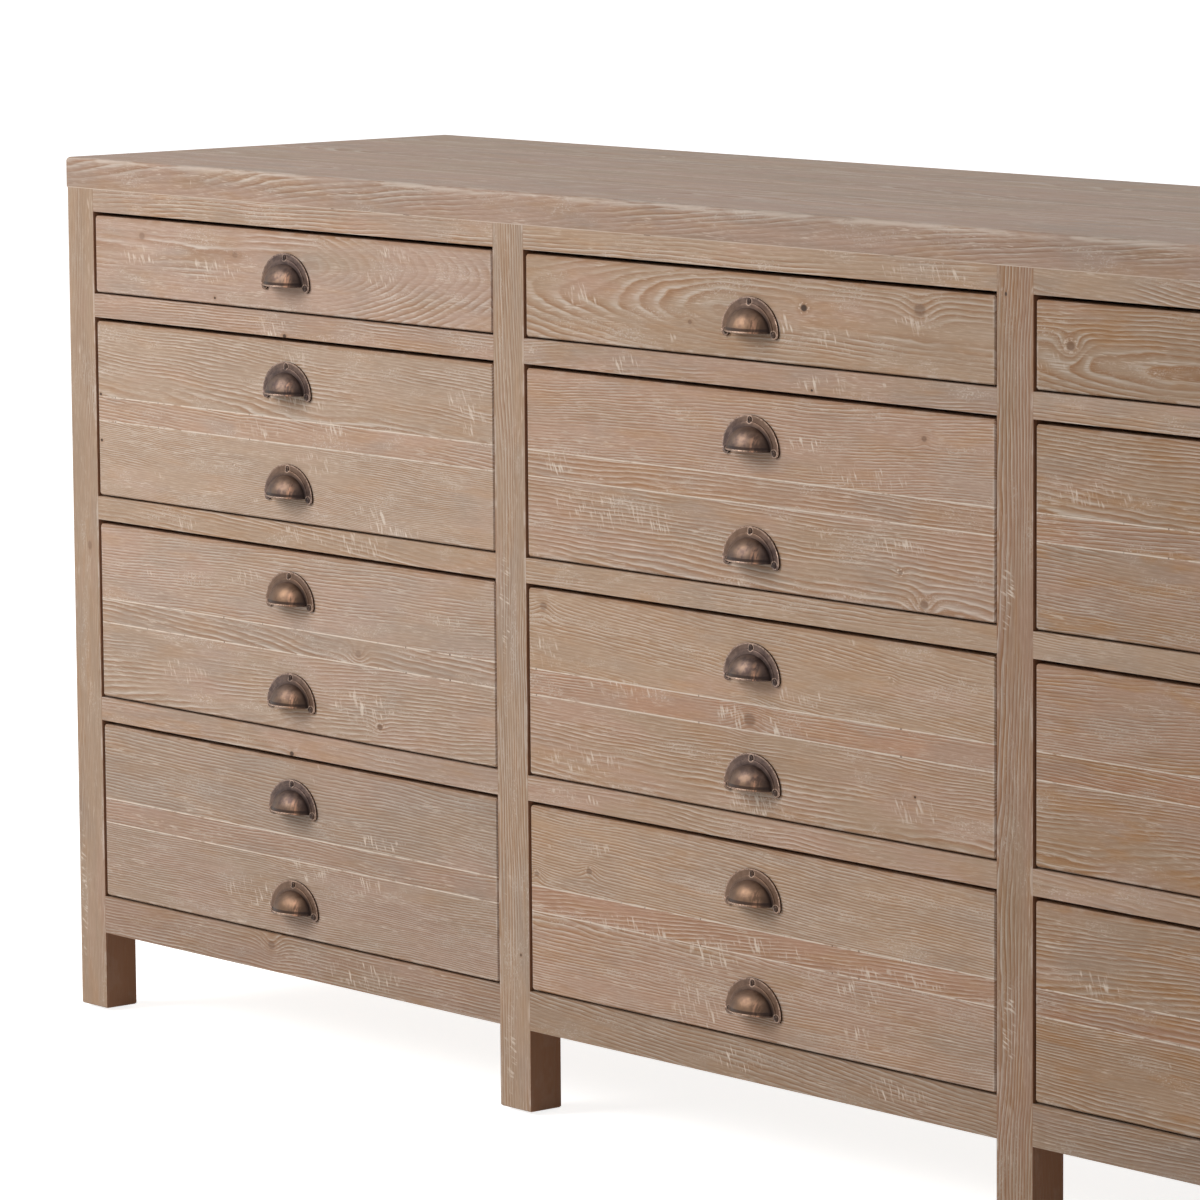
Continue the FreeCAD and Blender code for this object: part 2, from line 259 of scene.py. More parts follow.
@dataclass(frozen=True)
class Knot:
    """A knot or a small hole in a board, by its place along and across the grain."""

    along: float
    across: float
    radius: float
    dark: float = 0.6
    swirl: float = 3.0
    limed: float = 0.0

    @property
    def long(self) -> float:
        """Half its length along the grain."""
        return self.radius * 1.35

    @property
    def wide(self) -> float:
        """Half its width across the grain."""
        return self.radius


@dataclass(frozen=True)
class Scuff:
    """A patch of saw marks, by its middle and its half length and width, in millimetres."""

    along: float
    across: float
    long: float = 34.0
    wide: float = 11.0


@dataclass(frozen=True)
class Pith:
    """The heart of the log a board is cut from, straight up to a place and sloping away beyond.

    The slope leads to the right if it is positive, and to the left if it is negative.
    """

    across: float
    behind: float
    slope: float
    bend: float


@dataclass(frozen=True)
class PineStain:
    """The colours of one way of finishing pine."""

    tan: Colour = tint(187, 158, 133)
    rosy: Colour = tint(188, 155, 134)
    grey: Colour = tint(172, 152, 137)
    honey: Colour = tint(186, 145, 108)
    red: Colour = tint(188, 145, 119)
    late: Colour = tint(156, 112, 76)
    lime: Colour = tint(219, 204, 190)
    bare: Colour = tint(104, 74, 54)
    filler: Colour = tint(228, 212, 196)
    # The flank brown is partly bare wood and partly painted shade, on the inner flanks of the posts.
    flank: Colour = tint(144, 100, 72)
    lime_share: float = 1.0
    roughness: float = 0.6


LIMED = PineStain()
PLAIN = PineStain(
    tan=tint(202, 176, 142), rosy=tint(198, 168, 134), grey=tint(190, 168, 138),
    honey=tint(202, 170, 130),
    late=tint(166, 132, 98), lime=tint(216, 196, 162), bare=tint(120, 84, 56),
    lime_share=0.12, roughness=0.55,
)
PLY = PineStain(
    tan=tint(204, 176, 140), rosy=tint(200, 167, 132), grey=tint(192, 168, 138),
    honey=tint(204, 172, 132),
    late=tint(168, 134, 98), lime=tint(216, 194, 160), bare=tint(116, 84, 60),
    lime_share=0.1, roughness=0.62,
)


@dataclass(frozen=True)
class PineFinish:
    """How the pine boards of one node look: their log, seams, knots, saw marks and wear, and the
    shade painted on some of their faces and edges.
    """

    name: str
    low: Vector
    high: Vector
    grain: Grain
    seed: float
    stain: PineStain = LIMED
    seam_axis: int = 0
    seams: tuple[float, ...] = ()
    filled_seams: bool = False
    strips: tuple[tuple[float, float], ...] = ()
    strip_redness: float = 0.5
    honeyed: float = 0.45
    ring_width: float = 2.6
    pith_reach: float = 70.0
    pith_depth: float = 24.0
    pith: Pith | None = None
    clarity: float = 0.5
    wander: float = 8.0
    chatter: float = 0.5
    shade: float = 1.0
    richness: float = 1.0
    banding: float = 0.12
    bare_flanks: tuple[float, ...] = ()
    knots: tuple[Knot, ...] = ()
    scuffs: tuple[Scuff, ...] = ()
    turned_beyond: float = 0.0
    rubbed_edges: tuple[int, ...] = ()
    painted_shade_under_top_edge: bool = False
    worn_arris: bool = False

    def middle(self, axis: int) -> float:
        """The middle of the node along an axis, in millimetres."""
        return (self.low[axis] + self.high[axis]) / 2 / MM

    def material(self) -> bpy.types.Material:
        """Build the node material."""
        return PinePaint(self).material()


class PinePaint(Shader):
    """The paint of one node's boards, laid coat over coat on the rings and fibres of their wood."""

    def __init__(self, look: PineFinish) -> None:
        """Find the place on the boards, and the wood at that place.

        Args:
            look: how the boards look.
        """
        super().__init__(bpy.data.materials.new(look.name))
        self.look = look
        self.stain = look.stain
        self.seam_place = self.places[look.seam_axis]
        self.board = self._board_number()
        self.along, self.across, self.deep = self._lie()
        self.luck = self.chance(self.board + look.seed)
        self.more_luck = self.chance(self.board + (look.seed + 0.5))
        self.shift = self.board * 3.7 + look.seed * 1.9
        self.late, self.soft, self.clear = self._rings()
        self.fibre = self._wave(60.0, 1.6, 3.0, 0.65)
        self.fine = self._wave(13.0, 0.9)
        self.patches = self._wave(170.0, 45.0, 3.0, 0.55)
        self.colour = self.stain.tan
        self.marks = self._marks()
        self.pits: Value = 0.0

    def material(self) -> bpy.types.Material:
        """Lay every coat and close the material.

        Returns:
            The finished material.
        """
        self._stain_boards()
        self._lime_grain()
        self._tone()
        self.coat(self.marks * (0.85 * self.stain.lime_share), self.stain.filler)
        if self.look.filled_seams and self.look.seams:
            self._fill_seams()
        for knot in self.look.knots:
            self._paint_knot(knot)
        if self.look.rubbed_edges:
            self._rub_and_shade_edges()
        if self.look.bare_flanks:
            self._bare_flanks()
        if self.look.worn_arris:
            self._wear_arris_and_shade_top()
            self._fill_lower_joint()
        late, fibre, marks = self.late, self.fibre, self.marks
        relief = 0.45 * late * self.clear + 0.3 * fibre + 0.1 * self.fine
        relief = relief + 0.15 * marks - 0.6 * self.pits
        roughness = self.stain.roughness + 0.14 * (fibre - 0.5) - 0.05 * late + 0.12 * marks
        return self.surface({"Roughness": roughness, "Specular IOR Level": 0.25}, relief, 0.35)

    def _wave(self, long: float, wide: float, detail: float = 2.0, roughness: float = 0.5) -> Wire:
        """Noise drawn out along the grain, whose waves have these lengths in millimetres."""
        place = self.join(self.along / long, self.across / wide + self.shift, self.deep / wide)
        return self.noise(place, detail, roughness)

    def _nearness(self, mark: Knot | Scuff) -> Wire:
        """Measure how far the place is from a mark's middle.

        Args:
            mark: the knot or scuff.

        Returns:
            The distance as a share of the mark's half sizes.
        """
        off_along = (self.along - mark.along) / mark.long
        off_across = (self.across - mark.across) / mark.wide
        return (off_along * off_along + off_across * off_across) ** 0.5

    def _board_number(self) -> Wire:
        """Count the seams that lie below the place.

        Returns:
            The number of the board, from 0.
        """
        number: Value = 0.0
        for seam in self.look.seams:
            number = number + self.math("GREATER_THAN", self.seam_place, seam)
        return number if self.look.seams else self.seam_place * 0.0

    def _board_centre(self) -> Value:
        """Find the middle of each board across its grain, or the node's if no seam runs with it.

        Returns:
            The middle, in millimetres.
        """
        look = self.look
        axis = look.grain.value[1]
        if look.seam_axis != axis or not look.seams:
            return look.middle(axis)
        first = (look.low[axis] / MM + look.seams[0]) / 2
        last = (look.high[axis] / MM + look.seams[-1]) / 2
        return self.board * ((last - first) / len(look.seams)) + first

    def _lie(self) -> tuple[Wire, Wire, Wire]:
        """Turn the place into the boards' own directions, with cross boards turned.

        Returns:
            The place along, across and into the boards.
        """
        along, across, deep = (self.places[axis] for axis in self.look.grain.value)
        if not self.look.turned_beyond:
            return along, across, deep
        off_middle = abs(along - self.look.middle(self.look.grain.value[0]))
        turned = self.math("GREATER_THAN", off_middle, self.look.turned_beyond)
        difference = (deep - along) * turned
        return along + difference, across, deep - difference

    def _pith_distance(self) -> Wire:
        """Measure how far the place is from the pith, a tilted line inside the log.

        Returns:
            The distance in millimetres.
        """
        look = self.look
        along_axis, _, deep_axis = look.grain.value
        run = self.along - look.middle(along_axis)
        side = 2.0 * self.math("GREATER_THAN", self.luck[0], 0.5) - 1.0
        across: Value = side * look.pith_reach * (0.6 + self.luck[0]) + self._board_centre()
        deep: Value = self.luck[1] * 45.0 + (look.middle(deep_axis) + look.pith_depth)
        tilt_across: Value = (self.luck[2] - 0.5) * 0.06
        tilt_deep: Value = (self.more_luck[0] - 0.5) * 0.12
        if look.pith:
            across = look.pith.across
            deep = look.middle(deep_axis) + look.pith.behind
            tilt_across = 0.0
            tilt_deep = look.pith.slope
            toward = math.copysign(1.0, look.pith.slope)
            run = self.math("MAXIMUM", (self.along - look.pith.bend) * toward, 0.0) * toward
        off_across = self.across - across - run * tilt_across
        off_deep = self.deep - deep - run * tilt_deep
        return (off_across * off_across + off_deep * off_deep) ** 0.5

    def _rings(self) -> tuple[Wire, Wire, Wire]:
        """Count the growth rings, which wander and swirl round the knots.

        Returns:
            Late wood and the soft wood beside it, from 0 to 1, and how clearly the grain shows.
        """
        look = self.look
        reach = self._pith_distance()
        bend = (self._wave(300.0, 80.0) - 0.5) * (2.0 * look.wander)
        ripple = (self._wave(42.0, 14.0) - 0.5) * (look.wander * 0.3)
        width = look.ring_width * (0.8 + 0.45 * self.more_luck[1])
        count = (reach + bend + ripple) / width
        for knot in look.knots:
            near = self._nearness(knot)
            bulge = self.math("EXPONENT", near * near * -0.16)
            count = count + bulge * knot.swirl
        part = self.math("FRACT", count)
        late = self.smooth(part, 0.45, 0.88) * self.smooth(part, 1.0, 0.93)
        soft = self.smooth(part, 0.0, 0.07) * self.smooth(part, 0.44, 0.17)
        low = 0.62 - 0.34 * look.clarity
        clear = self.smooth(self._wave(190.0, 26.0), low, low + 0.22)
        return late, soft, clear

    def _stain_boards(self) -> None:
        """Stain the boards rosy, red, grey and honey in patches, and darken their late wood."""
        look = self.look
        rosy = self.smooth(self.patches + 0.34 * (self.luck[2] - 0.5), 0.38, 0.66)
        self.coat(rosy, self.stain.rosy)
        for low, high in look.strips:
            inside = self.math("GREATER_THAN", self.seam_place, low)
            inside = inside * self.math("LESS_THAN", self.seam_place, high)
            self.coat(inside * look.strip_redness, self.stain.red)
        cool = self.smooth(self._wave(120.0, 38.0) + 0.3 * (self.more_luck[2] - 0.5), 0.5, 0.7)
        self.coat(cool * 0.45, self.stain.grey)
        stained = self.smooth(self._wave(85.0, 15.0, 3.0, 0.55), 0.48, 0.68)
        self.coat(stained * look.honeyed, self.stain.honey)
        self.dim(0.92 + 0.09 * self.luck[0] + 0.3 * (self.patches - 0.5))
        self.coat(self.late * (0.18 + 0.54 * self.clear), self.stain.late)

    def _lime_grain(self) -> None:
        """Leave lime in the soft wood, in fine flecks and in a haze of specks."""
        specks = self.noise(
            self.join(self.along / 2.4, self.across / 1.3, self.deep / 1.3), 1.0)
        haze = self.smooth(self._wave(95.0, 26.0, 3.0, 0.6), 0.5, 0.68)
        flecks = self.smooth(self.fine, 0.55, 0.68) * 0.2
        flecks = flecks + haze * (0.1 + 0.5 * self.smooth(specks, 0.54, 0.68))
        limed = self.soft * self.smooth(self.fibre, 0.34, 0.58) * (0.12 + 0.62 * self.clear)
        limed = self.math("MAXIMUM", limed, flecks) * self.stain.lime_share
        self.coat(limed, self.stain.lime)

    def _tone(self) -> None:
        """Vary the tone with the fibres and the broad bands, and set the node's depth and richness,
        which are partly its own tone and partly painted shade.
        """
        bands = self._wave(260.0, 13.0) - 0.5
        self.dim(0.72 + 0.3 * self.fibre + 0.26 * self.fine + self.look.banding * bands)
        # Partly painted shade: the node's shade and richness also stand in for how the light falls
        # across the chest.
        self.colour = self.node("HueSaturation", None, {
            "Color": self.colour, "Saturation": self.look.richness, "Value": self.look.shade})

    def _marks(self) -> Wire:
        """Find the lime caught in short saw marks across the grain and in dashes along it.

        Returns:
            A mask from 0 to 1.
        """
        look = self.look
        slant = self.along + 0.35 * self.across
        lines = self.noise(self.join(slant / 2.6, self.across / 13.0, look.seed), 2.0, 0.4)
        low = 0.75 - 0.13 * look.chatter
        groups: Value = self.smooth(self._wave(60.0, 26.0), low, low + 0.08)
        ragged = self._wave(9.0, 6.0, 1.0) - 0.5
        for scuff in look.scuffs:
            patch = self.smooth(self._nearness(scuff) + ragged, 1.1, 0.6)
            groups = self.math("MAXIMUM", groups, patch)
        faint = self._wave(12.0, 9.0, 1.0)
        strokes = self.smooth(lines, 0.52, 0.66) * groups * self.smooth(faint, 0.3, 0.7)
        dashes = self.smooth(self._wave(16.0, 1.1), 0.56, 0.7)
        beds = self.smooth(self._wave(75.0, 14.0), 0.5, 0.64)
        return self.clamp(strokes + dashes * beds * 0.6)

    def _fill_seams(self) -> None:
        """Draw thin lines of filler along the glued seams, broken here and there by dark chips."""
        seed = self.look.seed
        gap: Value = FAR
        for seam in self.look.seams:
            gap = self.math("MINIMUM", abs(self.seam_place - seam), gap)
        ragged = self.noise(self.join(self.along / 26.0, seed, 0.0), 3.0, 0.7)
        width = 0.2 + 1.0 * ragged
        line = self.smooth(gap / width, 1.1, 0.5) * self.smooth(ragged, 0.3, 0.48)
        self.coat(line * 0.95, self.stain.filler)
        chips = self.noise(self.join(self.along / 7.0, seed + 9.0, 0.0), 2.0, 0.6)
        self.pits = self.smooth(chips, 0.66, 0.72) * self.smooth(gap, 1.1, 0.5)
        self.coat(self.pits * 0.85, self.stain.bare)

    def _paint_knot(self, knot: Knot) -> None:
        """Draw a dark knot or a small hole, with painted shade inside a hole and lime round it where
        the knot is limed.

        Args:
            knot: the knot.
        """
        near = self._nearness(knot)
        core = self.smooth(near, 1.05, 0.55) * knot.dark
        self.coat(self.smooth(near, 2.6, 0.9) * (0.4 * knot.dark), self.stain.late)
        self.coat(core, self.stain.bare)
        # A hole gets painted shade inside it, over the bare brown.
        if knot.dark >= HOLE_DARKNESS:
            self.dim(1.0 - 0.6 * core)
        if knot.limed:
            spot = self.join(self.along / 3.0, self.across / 2.0, self.look.seed)
            worn = self.smooth(self.noise(spot), 0.46, 0.62)
            ring = self.smooth(abs(near - 1.2), 0.5, 0.1) * worn
            self.coat(ring * knot.limed, self.stain.filler)
        self.pits = core + self.pits

    def _rub_and_shade_edges(self) -> None:
        """Rub the edges pale in places, and paint shade under the upper edge of a front, where the
        gap above it shades it.
        """
        look = self.look
        gap: Value = FAR
        for axis in look.rubbed_edges:
            for limit in (look.low, look.high):
                gap = self.math("MINIMUM", abs(self.places[axis] - limit[axis] / MM), gap)
        worn = self.smooth(self._wave(34.0, 22.0, 3.0, 0.6), 0.5, 0.64)
        self.coat(self.smooth(gap, 4.2, 1.0) * worn * 0.5, self.stain.lime)
        if look.painted_shade_under_top_edge:
            # Painted shade: a dark band under the front's upper edge, in the shade of the gap above
            # it.
            below = look.high.z / MM - self.places[2]
            self.coat(self.smooth(below, 4.6, 1.6) * 0.45, self.stain.late)

    def _bare_flanks(self) -> None:
        """Paint the given flanks of a post a bare brown, where its legs show them: partly the
        unfinished wood and partly painted shade.
        """
        # The mask below marks the flank faces, whose bare brown is partly painted shade.
        bare: Value = 0.0
        for flank in self.look.bare_flanks:
            bare = self.smooth(abs(self.places[0] - flank), 0.5, 0.2) + bare
        self.coat(bare * 0.85, self.stain.flank)

    def _wear_arris_and_shade_top(self) -> None:
        """Rub the finish pale along the top's front arris, and paint shade on its upper face, so
        that it is darker than its front face.
        """
        below = self.look.high.z / MM - self.places[2]
        behind = self.places[1] - self.look.low.y / MM
        near = self.smooth(below + behind, 7.5, 2.0)
        worn = near * self.smooth(self._wave(60.0, 6.0, 3.0, 0.6), 0.42, 0.6)
        # Painted shade: the upper face a little darker, the faces below it a little lighter.
        self.dim(1.03 - 0.08 * self.smooth(below, 0.8, 0.3))
        self.coat(worn * 0.5, self.stain.lime)

    def _fill_lower_joint(self) -> None:
        """Draw the filled joint along the foot of the top's front face."""
        above = self.places[2] - self.look.low.z / MM
        run = self.join(self.along / 38.0, self.look.seed + 4.0, 0.0)
        ragged = self.noise(run, 3.0, 0.7)
        line = self.smooth(above, 1.0, 0.4)
        self.coat(line * (0.3 + 0.5 * ragged), self.stain.filler)
        self.coat(line * self.smooth(ragged, 0.38, 0.32) * 0.8, self.stain.bare)


@dataclass(frozen=True)
class CopperFinish:
    """Antique copper: a dark patina, rubbed through to copper where hands and light reach it, with
    painted shade, a painted reflection and painted highlights over it.
    """

    name: str = "antique_copper"
    dark: Colour = tint(70, 54, 49)
    patina: Colour = tint(95, 77, 69)
    shadow: Colour = tint(38, 27, 25)
    copper: Colour = tint(97, 79, 66)
    # The streak colour is that of the painted reflection on the cup.
    streak: Colour = tint(170, 128, 104)
    golden: Colour = tint(118, 88, 62)
    # A painted highlight over rubbed edges: on the rim, the lip and the rings of the screw holes.
    bright: Colour = tint(196, 168, 150)
    rubbed: float = 1.0
    sunk: float = 0.85
    groove_rise: float = 3.0
    lip_rise: float = 0.6
    recess: float = 0.5

    def material(self, pull: "CupPull") -> bpy.types.Material:
        """Build the node material for a pull of these sizes."""
        return CopperPaint(self, pull).material()


class CopperPaint(Shader):
    """The patina of a pull and its painted shade, reflection and highlights, laid by the place on
    the pull that its mesh carries.
    """

    def __init__(self, look: CopperFinish, pull: "CupPull") -> None:
        """Find the place on the pull, and how worn it is there.

        Args:
            look: the colours and the wear.
            pull: the pull's sizes.
        """
        super().__init__(bpy.data.materials.new(look.name))
        self.look = look
        self.pull = pull
        place = self.node("Attribute", {"attribute_name": PLACE_ON_PULL}).output(1)
        self.x, self.y, self.z = self.split(place)
        self.mottle = self.speckle((7.0, 7.0, 7.0), 4.0, 0.6)
        self.speck = self.speckle((1.2, 1.2, 1.2))
        self.streak = self.speckle((1.6, 5.0, 14.0))
        self.forward = self.smooth(self.y, -6.0, -15.0)
        rubbed = self.smooth(self.mottle + 0.3 * (self.streak - 0.5), 0.34, 0.64)
        self.rubbed = rubbed * self.forward * look.rubbed
        self.foot = self.smooth(self.y, -1.35, -0.9)
        self.colour = look.dark

    def material(self) -> bpy.types.Material:
        """Lay every coat and close the material.

        Returns:
            The finished material.
        """
        self._patinate()
        self._paint_reflection_and_shade()
        self._shade_hollows()
        for across, rise in self.pull.screw_places:
            self._sink_screw(across, rise - self.pull.lip_drop)
        # Painted highlight on the flange's rim and the lip's left, over their rubbed edges.
        edge = self._painted_highlight_edges()
        self.coat(edge * 0.8, self.look.bright)
        roughness = 0.43 - 0.06 * self.rubbed + 0.14 * (self.mottle - 0.5) - 0.06 * edge
        sockets = {"Roughness": roughness, "Metallic": 0.8 + 0.15 * self.rubbed}
        return self.surface(sockets, 0.6 * self.mottle + 0.4 * self.speck, 0.12)

    def _oval(self, width: float, height: float) -> Wire:
        """How far the place is from the mouth's middle, as a share of an oval's half sizes."""
        return ((self.x / width) ** 2 + ((self.z + self.pull.lip_drop) / height) ** 2) ** 0.5

    def _above_mouth(self, rise: float) -> Wire:
        """How far the place is from a level this high above the mouth."""
        return abs(self.z + (self.pull.lip_drop - rise))

    def _patinate(self) -> None:
        """Mottle the patina, let copper through it and tint some pulls golden."""
        self.coat(self.smooth(self.mottle, 0.36, 0.64), self.look.patina)
        self.coat(self.rubbed * 0.75, self.look.copper)
        x, _, z = self.places
        region = self.noise(self.join(x / 190.0, 0.0, z / 70.0), 0.0)
        self.coat(self.smooth(region, 0.4, 0.6) * 0.4, self.look.golden)

    def _paint_reflection_and_shade(self) -> None:
        """Paint a reflection as a copper streak down the cup's right, and paint shade on the side of
        the cup beyond it.
        """
        band = self.smooth(abs(self.x - 17.0 + 0.15 * self.z), 5.5, 1.0)
        # Painted reflection: a copper streak on the cup's right, broken by the mottle.
        worn = band * self.smooth(self.streak + 0.6 * self.mottle, 0.66, 0.9) * self.forward
        self.coat(worn * (0.75 * self.look.rubbed), self.look.streak)
        # Painted shade on the cup's right side, beyond the streak.
        turned = self.smooth(self.x + 3.0 * (self.mottle - 0.5), 18.0, 26.0)
        self.coat(turned * self.smooth(self.y, -2.0, -3.5) * 0.65, self.look.shadow)

    def _shade_hollows(self) -> None:
        """Darken the recess round the cup, the groove above its lip and the flange's foot."""
        look, pull = self.look, self.pull
        round_cup = self._oval(pull.cup_width / 2 + look.recess, pull.cup_height + look.recess)
        recess = self.smooth(abs(round_cup - 1.0), 0.1, 0.02) * self.smooth(self.y, -7.0, -3.5)
        recess = recess * (0.45 + 0.55 * self.smooth(self.x, 8.0, 24.0))
        groove = self.smooth(self._above_mouth(look.groove_rise), 1.7, 0.7)
        groove = groove * self.smooth(self.y, -3.0, -6.0)
        self.coat(self.clamp(recess + groove) * 0.75, look.shadow)
        self.coat(self.foot * 0.9, look.shadow)

    def _sink_screw(self, across: float, rise: float) -> None:
        """Paint shade over a screw and round it, and a painted highlight on the worn ring of its
        hole, fainter on the pull's left.

        Args:
            across: the screw's x on the pull.
            rise: its z.
        """
        away = ((self.x - across) ** 2 + (self.z - rise) ** 2) ** 0.5
        self.coat(self.smooth(away, 3.3, 2.6) * self.look.sunk, self.look.shadow)
        # Painted highlight on the worn ring, fainter on the pull's left.
        ring = self.smooth(abs(away - 3.5), 0.65, 0.15) * self.smooth(self.mottle, 0.3, 0.5)
        self.coat(ring * (0.15 + 0.3 * self.smooth(self.x, -20.0, -8.0)), self.look.bright)

    def _painted_highlight_edges(self) -> Wire:
        """Find the flange's rim and the left of the lip, where a painted highlight lies over their
        rubbed edges.

        Returns:
            A mask from 0 to 1.
        """
        rim = self.smooth(self._oval(self.pull.width / 2, self.pull.rise), 0.945, 0.98)
        lip = self.smooth(self._above_mouth(self.look.lip_rise), 1.3, 0.6)
        lip = lip * self.smooth(self.y, -4.0, -9.0) * self.smooth(self.x, 20.0, 2.0)
        edge = self.clamp(rim * (1.0 - self.foot) * 0.6 + lip * 0.8)
        return edge * self.smooth(self.speck, 0.3, 0.6)


@dataclass(frozen=True)
class GlideFinish:
    """Brown plastic glides, scuffed underneath."""

    name: str = "glide_plastic"
    clean: Colour = tint(84, 62, 46)
    scuffed: Colour = tint(140, 122, 104)

    def material(self) -> bpy.types.Material:
        """Build the node material.

        Returns:
            The finished material.
        """
        shader = Shader(bpy.data.materials.new(self.name))
        cloud = shader.speckle((3.0, 3.0, 3.0), 3.0)
        scratch = shader.speckle((0.6, 5.0, 0.6))
        worn = shader.smooth(scratch, 0.55, 0.7) * shader.smooth(shader.places[2], 1.6, 0.2)
        shader.colour = self.clean
        shader.coat(worn, self.scuffed)
        shader.dim(0.85 + 0.3 * cloud)
        roughness = 0.38 + 0.2 * worn + 0.1 * (cloud - 0.5)
        return shader.surface({"Roughness": roughness}, scratch, 0.05)


class Bench:
    """The steps by which a piece is modelled."""

    @staticmethod
    def pick(*pieces: bpy.types.Object) -> None:
        """Select some pieces alone.

        Args:
            pieces: the pieces, of which the first becomes the active one.
        """
        bpy.ops.object.select_all(action="DESELECT")
        for piece in pieces:
            piece.select_set(True)
        bpy.context.view_layer.objects.active = pieces[0]

    @staticmethod
    def start(primitive: Callable, **settings: object) -> bpy.types.Object:
        """Add a primitive with nothing else selected.

        Args:
            primitive: the operator that adds it.
            settings: its settings.

        Returns:
            The new piece.
        """
        bpy.ops.object.select_all(action="DESELECT")
        primitive(**settings)
        return bpy.context.view_layer.objects.active

    @staticmethod
    def settle(piece: bpy.types.Object) -> None:
        """Put a piece's place, turn and scale into its mesh."""
        Bench.pick(piece)
        bpy.ops.object.transform_apply(location=True, rotation=True, scale=True)

    @staticmethod
    def stretch(piece: bpy.types.Object, x: float, y: float, z: float) -> None:
        """Scale a unit piece to these millimetres and settle it."""
        piece.scale = Vector((x, y, z)) * MM
        Bench.settle(piece)

    @staticmethod
    def shift(piece: bpy.types.Object, move: Vector) -> None:
        """Move a piece and settle it.

        Args:
            piece: the piece.
            move: how far it goes, in metres.
        """
        Bench.pick(piece)
        bpy.ops.transform.translate(value=move)
        Bench.settle(piece)

    @staticmethod
    def smooth(piece: bpy.types.Object, degrees: float) -> None:
        """Shade a piece smooth, apart from edges sharper than an angle."""
        Bench.pick(piece)
        bpy.ops.object.shade_smooth_by_angle(angle=math.radians(degrees))

    @staticmethod
    def trim(piece: bpy.types.Object, side: tuple[int, ...], fill: bool = False) -> None:
        """Cut a piece by a plane through the origin and drop one side.

        Args:
            piece: the piece to cut.
            side: the direction of the side that goes.
            fill: whether the cut is closed.
        """
        Bench.pick(piece)
        bpy.ops.object.mode_set(mode="EDIT")
        bpy.ops.mesh.select_all(action="SELECT")
        bpy.ops.mesh.bisect(plane_co=(0, 0, 0), plane_no=side, clear_outer=True, use_fill=fill)
        bpy.ops.object.mode_set(mode="OBJECT")

    @staticmethod
    def modify(piece: bpy.types.Object, kind: str, **settings: object) -> None:
        """Add a modifier and apply it.

        Args:
            piece: the piece.
            kind: the modifier's type.
            settings: the modifier's settings.
        """
        Bench.pick(piece)
        bpy.ops.object.modifier_add(type=kind)
        modifier = piece.modifiers[-1]
        for key, value in settings.items():
            setattr(modifier, key, value)
        bpy.ops.object.modifier_apply(modifier=modifier.name)

    @staticmethod
    def ease(piece: bpy.types.Object, width: float, degrees: float) -> None:
        """Round a piece's edges sharper than an angle, to so many millimetres."""
        Bench.modify(piece, "BEVEL", width=width * MM, segments=3, limit_method="ANGLE",
                     angle_limit=math.radians(degrees))

    @staticmethod
    def combine(piece: bpy.types.Object, other: bpy.types.Object, operation: str) -> None:
        """Unite a piece with another, or cut the other out of it, and drop the other."""
        Bench.modify(piece, "BOOLEAN", operation=operation, object=other, solver="EXACT")
        bpy.data.objects.remove(other)

    @staticmethod
    def join(pieces: list[bpy.types.Object]) -> bpy.types.Object:
        """Make one piece of several.

        Args:
            pieces: the pieces.

        Returns:
            The piece that they make.
        """
        Bench.pick(*pieces)
        bpy.ops.object.join()
        return bpy.context.view_layer.objects.active

    @staticmethod
    def copy(piece: bpy.types.Object, move: Vector) -> bpy.types.Object:
        """Copy a piece with its mesh, move the copy and settle it.

        Args:
            piece: the piece.
            move: how far the copy goes, in metres.

        Returns:
            The copy.
        """
        Bench.pick(piece)
        bpy.ops.object.duplicate(linked=False)
        made = bpy.context.view_layer.objects.active
        Bench.shift(made, move)
        return made


